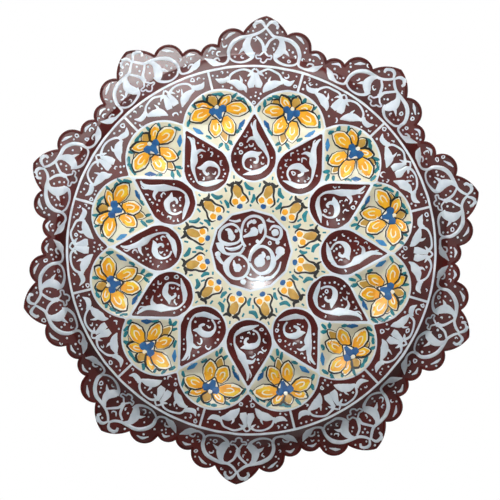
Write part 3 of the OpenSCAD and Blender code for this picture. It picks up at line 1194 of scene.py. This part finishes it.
    def leaves(self, canvas: Canvas) -> None:
        """Draws the teal dabs and the blue leaves.

        Args:
            canvas: Canvas of the field.
        """
        z = self.at
        dabs = [(4.8, 20.2, 70), (-6.2, 20.2, 20), (12.2, 17.2, -60), (18.2, 11.6, 0), (20.4, 7.4, 10),
                (-19.4, 7.6, -15), (-17.4, 12.6, 20), (-12.4, 16.8, 45), (-9.4, -4.4, 50), (9.8, -5.2, -45),
                (-2.6, -10.6, -35), (3.0, -10.8, 40), (0.0, -13.4, 5), (16.0, 14.4, 50), (0.6, 21.2, 90)]
        thick = Brush(lift=0.09)
        for a, r, lean in dabs:
            a, r = a + canvas.rng.normal(0, self.dab_shake), r + canvas.rng.normal(0, self.dab_shake)
            reach = canvas.rng.uniform(*self.dab_reach)
            u = turned((0.0, reach), lean + canvas.rng.normal(0, self.dab_lean))
            halves = [self.dab_end, canvas.rng.uniform(*self.dab_half), self.dab_end]
            canvas.stroke([(a - u[0], z + r - u[1]), (a, z + r), (a + u[0], z + r + u[1])], halves,
                          Finish.TEAL, thick)
        leaf = Brush(columns=5, lift=0.09)
        canvas.stroke([(-17.6, z + 3.8), (-15.0, z + 1.0), (-12.2, z - 1.8)], [0.5, 1.8, 0.4],
                      Finish.SKY, leaf)
        canvas.stroke([(15.8, z + 1.2), (13.2, z - 1.2), (10.4, z - 3.6)], [0.5, 1.7, 0.4],
                      Finish.COBALT, leaf)

    def draw(self, canvas: Canvas) -> None:
        """Draws the whole flower of one cell, from its lowest petal up.

        Args:
            canvas: Canvas of the field.
        """
        self.layer = self.first_layer
        bud, bold, fine = Finish.OCHRE, 0.58, 0.36
        self.petal(canvas, (-8.6, 12.4), (-15.4, 14.2), 2.9, 0.1, bud)
        self.petal(canvas, (8.0, 13.4), (14.2, 14.2), 2.9, -0.1, bud)
        self.petal(canvas, (-0.6, 13.8), (-1.4, 21.4), 3.2, 0.0, bud, bold)
        self.petal(canvas, (-2.2, 13.0), (-12.2, 19.2), 3.5, 0.06, pen=bold)
        self.petal(canvas, (1.4, 13.2), (10.6, 18.8), 3.3, -0.06, pen=bold)
        self.petal(canvas, (0.8, 4.4), (0.6, -10.4), 3.2, 0.0, bud, fine)
        self.petal(canvas, (-2.8, 6.6), (-6.2, -6.4), 4.4, 0.05, pen=fine)
        self.petal(canvas, (3.8, 6.4), (7.4, -6.4), 4.4, -0.05, pen=fine)
        self.petal(canvas, (-4.4, 10.6), (-18.2, 8.2), 4.7, -0.05)
        self.petal(canvas, (5.0, 10.4), (18.8, 5.8), 4.8, 0.05)
        self.heart(canvas)
        self.leaves(canvas)


@dataclass
class TulipOrnament(Ornament):
    """Twelve tulips on the cream ring, with teal dabs between them."""

    stem: str = "tulip"
    slot: str = "cream_enamel"
    seed: int = 500
    first: float = STEP / 2
    ball: Point = (2.7, 32.6)
    ball_lean: float = 0.4

    def tulip(self, canvas: Canvas) -> None:
        """Draws one tulip, its calyx outward.

        Args:
            canvas: Canvas of the field.
        """
        cup = [(1.8, 43.2), (3.3, 40.4), (3.7, 37.2), (4.9, 34.8), (5.8, 32.6), (5.2, 30.4), (3.6, 29.6)]
        canvas.stroke([(0, 42.6), (0.2, 39.6), (0, 36.2), (-0.2, 34.0)], [1.6, 2.9, 2.3, 0.4], Finish.OCHRE,
                      Brush(columns=5, rise=0.04))
        for side in (1, -1):
            canvas.stroke(flipped([(0.2, 44.4), (1.8, 43.4), (3.8, 43.2), (5.4, 44.8)], side),
                          [0.95, 1.2, 0.95, 0.4], Finish.BLACK)
            ball = (side * self.ball[0], self.ball[1] + side * self.ball_lean)
            canvas.dot(ball, 3.2, Finish.PALE, Brush(lift=0.02, rise=0.04))
            canvas.dot(ball, 2.2, Finish.GOLD, Brush(lift=0.07, rise=0.05))
            canvas.stroke(flipped(cup, side), [0.95, 0.8, 0.6, 0.65, 0.7, 0.5, 0.25], Finish.BLACK,
                          Brush(lift=0.08))
        canvas.dot((-0.4, 28.7), 2.0, Finish.COBALT, Brush(lift=0.08, rise=0.06), stretch=0.85)

    @staticmethod
    def dabs(canvas: Canvas) -> None:
        """Draws the teal dabs round a tulip.

        Args:
            canvas: Canvas of the field.
        """
        marks = [([(6.4, 43.0), (7.4, 39.2), (10.6, 37.4)], 1.25),
                 ([(9.8, 34.4), (9.3, 31.6), (7.4, 29.4)], 1.1),
                 ([(5.8, 28.2), (6.8, 27.0)], 0.95),
                 ([(7.8, 36.6), (7.0, 34.0)], 0.95),
                 ([(0.2, 46.6), (0.3, 48.8)], 0.8),
                 ([(-6.6, 42.4), (-6.4, 39.8)], 0.95)]
        for points, half in marks:
            shares = [0.6] + [1.2] * (len(points) - 2) + [0.7]
            canvas.stroke(points, [half * share for share in shares], Finish.TEAL)

    def draw(self, canvas: Canvas) -> None:
        """Draws a tulip with its dabs."""
        self.tulip(canvas)
        self.dabs(canvas)


@dataclass
class CentreOrnament:
    """White scrolls of the medallion."""

    radius: float = 24.0
    margin: float = 1.4
    weight: float = 1.65
    tries: int = 700

    @staticmethod
    def scrolls(canvas: Canvas) -> None:
        """Draws the scrolls with their round ends.

        Args:
            canvas: Canvas of the field.
        """

        def line(points: Sequence[Point], halves: Sequence[float]) -> None:
            """Paints one bold stroke."""
            canvas.stroke(points, halves, brush=WIDE)

        line([(-3.8, 2.0), (-6.0, 6.0), (-6.3, 11.0), (-5.4, 16.6), (-2.8, 20.4), (1.6, 21.8), (6.2, 20.2),
              (8.6, 16.2), (8.8, 10.2), (5.8, 5.0), (1.8, 1.6), (-0.6, -2.6), (-1.2, -7.0)], [0.55])
        line([(7.8, 16.6), (5.4, 14.8), (5.6, 11.0)], [0.3, 1.2, 0.3])
        line([(1.4, 11.6), (-1.6, 9.4), (-5.4, 8.2)], [1.6, 0.9, 0.4])
        canvas.dot((1.4, 11.8), 3.0)
        canvas.dot((1.4, 18.2), 1.6)
        line([(0.2, 18.8), (-2.2, 16.8), (-2.4, 14.6)], [0.6, 0.5, 0.2])
        line([(-6.4, 8.6), (-8.4, 5.4), (-12.0, 3.6), (-16.4, 3.8), (-19.6, 6.2), (-20.2, 10.4),
              (-17.8, 14.4), (-13.6, 16.2), (-9.2, 15.0), (-6.6, 11.0)],
             [0.3, 0.5, 0.6, 0.8, 0.7, 0.6, 0.55, 0.55, 0.5, 0.4])
        canvas.dot((-12.6, 8.0), 2.4)
        line([(-12.8, 9.4), (-14.2, 12.0), (-16.6, 12.8)], [1.3, 0.9, 0.2])
        line([(-16.4, 1.0), (-12.4, 0.2), (-8.2, 1.8), (-5.6, 4.6)], [0.2, 0.8, 0.6, 0.2])
        canvas.dot((-9.8, 12.0), 1.2)
        line([(-19.6, 4.2), (-19.2, 0.8), (-16.0, -2.2), (-11.0, -3.0), (-7.0, -1.4), (-4.6, 1.6)],
             [2.0, 1.2, 0.6, 0.55, 0.5, 0.5])
        line([(-9.4, -3.0), (-4.8, -4.6), (-1.8, -8.4), (-1.4, -13.2), (-4.8, -17.2), (-10.2, -18.0),
              (-14.8, -14.8), (-15.6, -9.6), (-12.8, -5.0), (-9.4, -3.0)],
             [0.5, 0.5, 0.5, 0.55, 0.6, 0.55, 0.9, 1.4, 0.8, 0.4])
        canvas.dot((-8.4, -11.6), 2.7)
        line([(-8.4, -11.4), (-10.8, -9.4), (-10.6, -6.8)], [1.3, 0.7, 0.2])
        line([(-1.2, -7.0), (0.8, -1.6), (5.4, 2.4), (10.2, 1.8), (13.6, -2.0), (14.0, -8.0),
              (11.2, -13.0), (6.2, -14.6), (1.8, -12.4), (-0.6, -8.0)],
             [0.5, 0.5, 0.55, 0.55, 0.7, 1.3, 0.8, 0.6, 0.5, 0.4])
        canvas.dot((5.6, -7.2), 3.6)
        line([(6.0, -5.2), (7.8, -3.0), (7.2, -0.6)], [1.4, 1.0, 0.3])
        canvas.dot((10.8, -4.6), 1.5)
        line([(8.9, 9.6), (11.6, 8.0), (16.4, 7.6), (18.8, 10.4), (17.8, 14.2), (13.8, 15.6), (11.0, 13.0)],
             [0.4, 0.5, 0.6, 0.7, 0.6, 0.5, 0.3])
        canvas.dot((15.0, 11.6), 2.4)
        canvas.dot((16.6, 5.4), 1.5)
        canvas.dot((18.4, -0.2), 3.1)
        line([(18.2, -2.0), (15.8, -5.0), (13.8, -6.4)], [1.0, 0.6, 0.4])
        canvas.dot((-21.2, -3.0), 1.9)
        line([(-21.0, -4.0), (-18.4, -8.0), (-15.8, -9.6)], [0.8, 0.6, 0.4])
        canvas.dot((-4.6, -20.2), 1.9)
        canvas.dot((7.4, -18.4), 2.2)
        line([(7.0, -17.0), (3.0, -18.6), (-1.0, -17.8), (-3.6, -16.2)], [0.9, 0.6, 0.5, 0.3])
        line([(9.6, -18.2), (13.6, -16.8), (17.4, -12.0), (19.4, -7.0)], [0.9, 0.6, 0.5, 0.3])
        line([(9.6, 20.0), (11.4, 18.6), (14.6, 18.4)], [0.8, 0.5, 0.2])
        line([(-7.4, 19.0), (-10.4, 18.2), (-14.6, 18.6)], [0.5, 0.45, 0.2])
        canvas.dot((3.8, 5.6), 1.3)

    def build(self, relief: Relief, palette: Palette) -> None:
        """Builds the brushwork of the medallion.

        Args:
            relief: Front of the plate.
            palette: Materials.
        """
        canvas = Canvas("medallion_scrolls", relief, seed=600, weight=self.weight)
        self.scrolls(canvas)
        box = (-self.radius, self.radius, -self.radius, self.radius)
        canvas.scatter(lambda x, y: math.hypot(x, y) < self.radius - self.margin, box, self.tries)
        canvas.build(palette, "white_enamel")


@dataclass
class WhiteLines:
    """Raised white lines between the fields, and hems of the cells' colour along them.

    A hem is given as its inset from the line and its half width.
    """

    edge_half: float = 0.75
    half: float = 0.5
    medallion_half: float = 0.4
    divider_half: float = 0.65
    divider_mid: float = 109.0
    dish_r: float = 116.85
    petal_r: float = 23.85
    petal_at: float = 80.2
    petal_tip: float = 63.05
    petal_hem: Point = (1.25, 0.75)
    tear_r: float = 14.8
    tear_at: float = 58.5
    tear_tip: float = 87.8
    tear_hem: Point = (1.3, 0.95)
    bowl_r: float = 25.8

    # A bead over the gap between two fields.
    BEAD = Brush(closed=True, bridge=True, lift=0.02, rise=0.22, sink=0.25, spacing=1.2)
    # A bead from a petal cell out to the edge of the dish.
    DIVIDER = Brush(bridge=True, lift=0.02, rise=0.18, sink=0.25)
    # A strip of a cell's colour, drawn up over the edge of the white coat.
    HEM = Brush(closed=True, lift=0.08, rise=0.03, sink=0.2, columns=9, spacing=0.6)

    def petal(self, inset: float = 0.0) -> list[Point]:
        """Outlines a petal cell: a round head over a right-angled tip.

        Args:
            inset: How far the outline is moved in, in mm.

        Returns:
            Points in the cell's frame.
        """
        radius, corner = self.petal_r - inset, self.petal_tip + inset * math.sqrt(2)
        run = self.petal_at - corner
        reach = (run + math.sqrt(2 * radius ** 2 - run ** 2)) / 2
        top = math.degrees(math.atan2(reach - run, reach))
        arc = [(radius * math.cos(a), self.petal_at + radius * math.sin(a))
               for a in np.radians(np.linspace(top, 180 - top, 18))]
        right = [(reach * k, corner + reach * k) for k in (0.15, 0.4, 0.7)]
        left = [(-a, r) for a, r in right[::-1]]
        return [(0.0, corner)] + right + arc + left

    def teardrop(self, inset: float = 0.0) -> list[Point]:
        """Outlines a teardrop cell: a round head and a tip.

        Args:
            inset: How far the outline is moved in, in mm.

        Returns:
            Points in the cell's frame.
        """
        half = math.asin(self.tear_r / (self.tear_tip - self.tear_at))
        radius = self.tear_r - inset
        arc = [(radius * math.cos(a), self.tear_at + radius * math.sin(a))
               for a in np.linspace(half, -math.pi - half, 22)]
        end, tip = np.array(arc[0]), np.array((0.0, self.tear_tip - inset / math.sin(half)))
        right = [tuple(tip + (end - tip) * k) for k in (0.1, 0.4, 0.7)]
        left = [(-a, r) for a, r in right[::-1]]
        return [tuple(tip)] + right + arc + left

    @staticmethod
    def sides(radius: float) -> list[Point]:
        """Outlines the twelve-sided medallion, with points along its sides.

        Args:
            radius: Distance to its corners in mm.

        Returns:
            Points on the plate.
        """
        corners = [turned((0.0, radius), STEP * k) for k in range(CELLS + 1)]
        points = []
        for a, b in zip(corners, corners[1:]):
            for k in (0.0, 0.05, 0.35, 0.65, 0.95):
                points.append((a[0] + (b[0] - a[0]) * k, a[1] + (b[1] - a[1]) * k))
        return points

    def build(self, relief: Relief, palette: Palette) -> None:
        """Builds every line.

        Args:
            relief: Front of the plate.
            palette: Materials.
        """
        edge = Canvas("dish_edge_line", relief, seed=11, shake=0.1)
        rim = [turned((0.0, self.dish_r), k) for k in range(0, 360, 3)]
        edge.stroke(rim, [self.edge_half], Finish.GROUND, self.BEAD)
        edge.build(palette, "white_enamel")
        centre = Canvas("medallion_line", relief, seed=12, shake=0.1)
        centre.stroke(self.sides(self.bowl_r), [self.medallion_half], Finish.GROUND, self.BEAD)
        centre.build(palette, "white_enamel")
        divider = [(0, self.petal_at + self.petal_r), (0, self.divider_mid), (0, self.dish_r)]
        for i in range(CELLS):
            line = Canvas(f"petal_line_{i + 1:02d}", relief, STEP * (i + 0.5), seed=700 + i, shake=0.12)
            line.stroke(self.petal(self.petal_hem[0]), self.petal_hem[1:], Finish.CREAM, self.HEM)
            line.stroke(self.petal(), [self.half], Finish.GROUND, self.BEAD)
            line.stroke(divider, [self.divider_half], Finish.GROUND, self.DIVIDER)
            line.build(palette, "white_enamel")
            line = Canvas(f"teardrop_line_{i + 1:02d}", relief, STEP * i, seed=800 + i, shake=0.12)
            line.stroke(self.teardrop(self.tear_hem[0]), self.tear_hem[1:], Finish.CELL, self.HEM)
            line.stroke(self.teardrop(), [self.half], Finish.GROUND, self.BEAD)
            line.build(palette, "white_enamel")


class Frame:
    """CAD nodes that stay in view, with their finishes."""

    STEMS = (("copper_blank", Finish.COPPER), ("ground_enamel", Finish.GROUND),
             ("counter_enamel", Finish.COUNTER), ("rim_enamel", Finish.MAROON),
             ("border_panel", Finish.MAROON), ("petal_cell", Finish.CREAM), ("teardrop_cell", Finish.CELL),
             ("tulip_ring", Finish.CREAM), ("centre_medallion", Finish.MAROON),
             ("hanger_pad", Finish.COPPER), ("hanger_strap", Finish.BRASS), ("strap_rivets", Finish.BRASS),
             ("hanger_ring", Finish.BRASS))
    FRONT = ("ground_enamel", "rim_enamel", "border_panel", "petal_cell", "teardrop_cell", "tulip_ring",
             "centre_medallion")

    def front(self) -> list[str]:
        """Names of the nodes that form the front."""
        return [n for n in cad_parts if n.startswith(self.FRONT)]

    def dress(self, palette: Palette) -> None:
        """Gives every CAD node its finish.

        Args:
            palette: Materials.
        """
        for name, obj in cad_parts.items():
            finish = next(f for stem, f in self.STEMS if name.startswith(stem))
            obj.data.materials.clear()
            obj.data.materials.append(palette.of(finish))
            obj.data.polygons.foreach_set("material_index", [0] * len(obj.data.polygons))
        LOG.info("dressed %d CAD nodes", len(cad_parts))


@dataclass(frozen=True)
class Lamp:
    """Soft rectangular light, in metres, watts and degrees."""

    name: str
    place: Triple
    size: Point
    power: float
    aim: Triple = (0.0, 0.0, 0.0)
    beam: float = 180.0

    def build(self) -> None:
        """Adds the light to the scene, turned to what it aims at."""
        data = bpy.data.lights.new(self.name, "AREA")
        data.shape = "RECTANGLE"
        data.size, data.size_y = self.size
        data.energy = self.power
        data.spread = math.radians(self.beam)
        lamp = bpy.data.objects.new(self.name, data)
        bpy.context.scene.collection.objects.link(lamp)
        lamp.location = self.place
        lamp.rotation_euler = (Vector(self.aim) - Vector(self.place)).to_track_quat("-Z", "Y").to_euler()


@dataclass
class Studio:
    """Camera, lights, floor and white surroundings, in metres."""

    distance: float = 1.3
    width: float = 0.3185
    shift: Point = (-0.0008, 0.0001)
    roll: float = -1.35
    sensor_mm: float = 36.0
    floor_z: float = -0.5
    floor_size: float = 4.0
    floor_glow: float = 0.62
    ambient: float = 0.06

    WHITE = linear("#ffffff")
    FLOOR = linear("#f3f3f3")
    # A key light from above, two spots on the upper border, strips at both sides, a window and a strip of
    # sky that the rim mirrors, and weak fills.
    LAMPS = (
        Lamp("key", (-0.08, -0.4, 0.55), (0.45, 0.45), power=0.37, aim=(-0.01, 0.0, 0.085), beam=46),
        Lamp("front_left", (-0.24, -1.19, 0.56), (0.28, 0.2), power=0.074, aim=(-0.07, 0.0, 0.045), beam=16),
        Lamp("front_right", (-0.04, -1.19, 0.59), (0.28, 0.2), power=0.072, aim=(0.07, 0.0, 0.045), beam=16),
        Lamp("left", (-0.32, -1.3, 0.03), (0.16, 0.5), power=0.26),
        Lamp("right", (0.32, -1.3, 0.05), (0.16, 0.45), power=0.24),
        Lamp("window", (-0.21, -1.3, 0.26), (0.28, 0.12), power=0.029, aim=(-0.105, 0.0, 0.13), beam=20),
        Lamp("sky", (0.1, -1.3, 0.39), (0.9, 0.26), power=0.029, aim=(0.03, 0.0, 0.17), beam=20),
        Lamp("above", (0.0, 0.2, 0.85), (0.8, 0.4), power=2.0),
        Lamp("fill", (0.9, -1.3, 0.2), (0.8, 0.8), power=0.5),
        Lamp("back", (0.3, 1.2, 0.8), (0.8, 0.8), power=1.2, beam=40),
    )

    def camera(self) -> None:
        """Looks at the front, square on."""
        data = bpy.data.cameras.new("camera")
        data.sensor_width = self.sensor_mm
        data.lens = self.sensor_mm * self.distance / self.width
        camera = bpy.data.objects.new("camera", data)
        bpy.context.scene.collection.objects.link(camera)
        camera.location = (self.shift[0], -self.distance, self.shift[1])
        camera.rotation_euler = (math.radians(90), math.radians(self.roll), 0)
        bpy.context.scene.camera = camera

    def surroundings(self) -> None:
        """White to the camera, soft grey as light."""
        world = bpy.data.worlds.new("surroundings")
        bpy.context.scene.world = world
        world.use_nodes = True
        tree = world.node_tree
        tree.nodes.clear()
        path = add_node(tree, "ShaderNodeLightPath")
        seen = add_node(tree, "ShaderNodeBackground", {"Color": self.WHITE, "Strength": 1.0})
        light = add_node(tree, "ShaderNodeBackground", {"Color": self.WHITE, "Strength": self.ambient})
        mix = add_node(tree, "ShaderNodeMixShader", {
            0: path.outputs["Is Camera Ray"], 1: light.outputs[0], 2: seen.outputs[0]})
        add_node(tree, "ShaderNodeOutputWorld", {"Surface": mix.outputs[0]})

    def floor(self) -> None:
        """Pale floor well below the plate."""
        bpy.ops.object.select_all(action="DESELECT")
        bpy.ops.mesh.primitive_plane_add(size=self.floor_size, location=(0, 0, self.floor_z))
        floor = bpy.context.active_object
        floor.name = "floor"
        material, tree = new_material("pale_floor")
        path = add_node(tree, "ShaderNodeLightPath")
        matt = add_node(tree, "ShaderNodeBsdfDiffuse", {"Color": self.FLOOR})
        glow = add_node(tree, "ShaderNodeEmission", {"Color": self.WHITE, "Strength": self.floor_glow})
        both = add_node(tree, "ShaderNodeAddShader", {0: matt.outputs[0], 1: glow.outputs[0]})
        mix = add_node(tree, "ShaderNodeMixShader", {
            0: path.outputs["Is Camera Ray"], 1: matt.outputs[0], 2: both.outputs[0]})
        add_node(tree, "ShaderNodeOutputMaterial", {"Surface": mix.outputs[0]})
        floor.data.materials.append(material)

    def build(self) -> None:
        """Sets up the studio."""
        self.camera()
        for lamp in self.LAMPS:
            lamp.build()
        self.surroundings()
        self.floor()
        bpy.context.scene.view_settings.view_transform = "Standard"


def main() -> None:
    """Builds the looks of the plate, piece by piece."""
    logging.basicConfig(level=logging.INFO, format="%(name)s: %(message)s")
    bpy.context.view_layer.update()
    palette = Palette()
    cad = Frame()
    cad.dress(palette)
    relief = Relief(cad.front())
    for part in (WhiteLines(), RimOrnament(), BorderOrnament(), TeardropOrnament(), PetalOrnament(),
                 TulipOrnament(), CentreOrnament()):
        part.build(relief, palette)
    Studio().build()


if __name__ == "__main__":
    main()
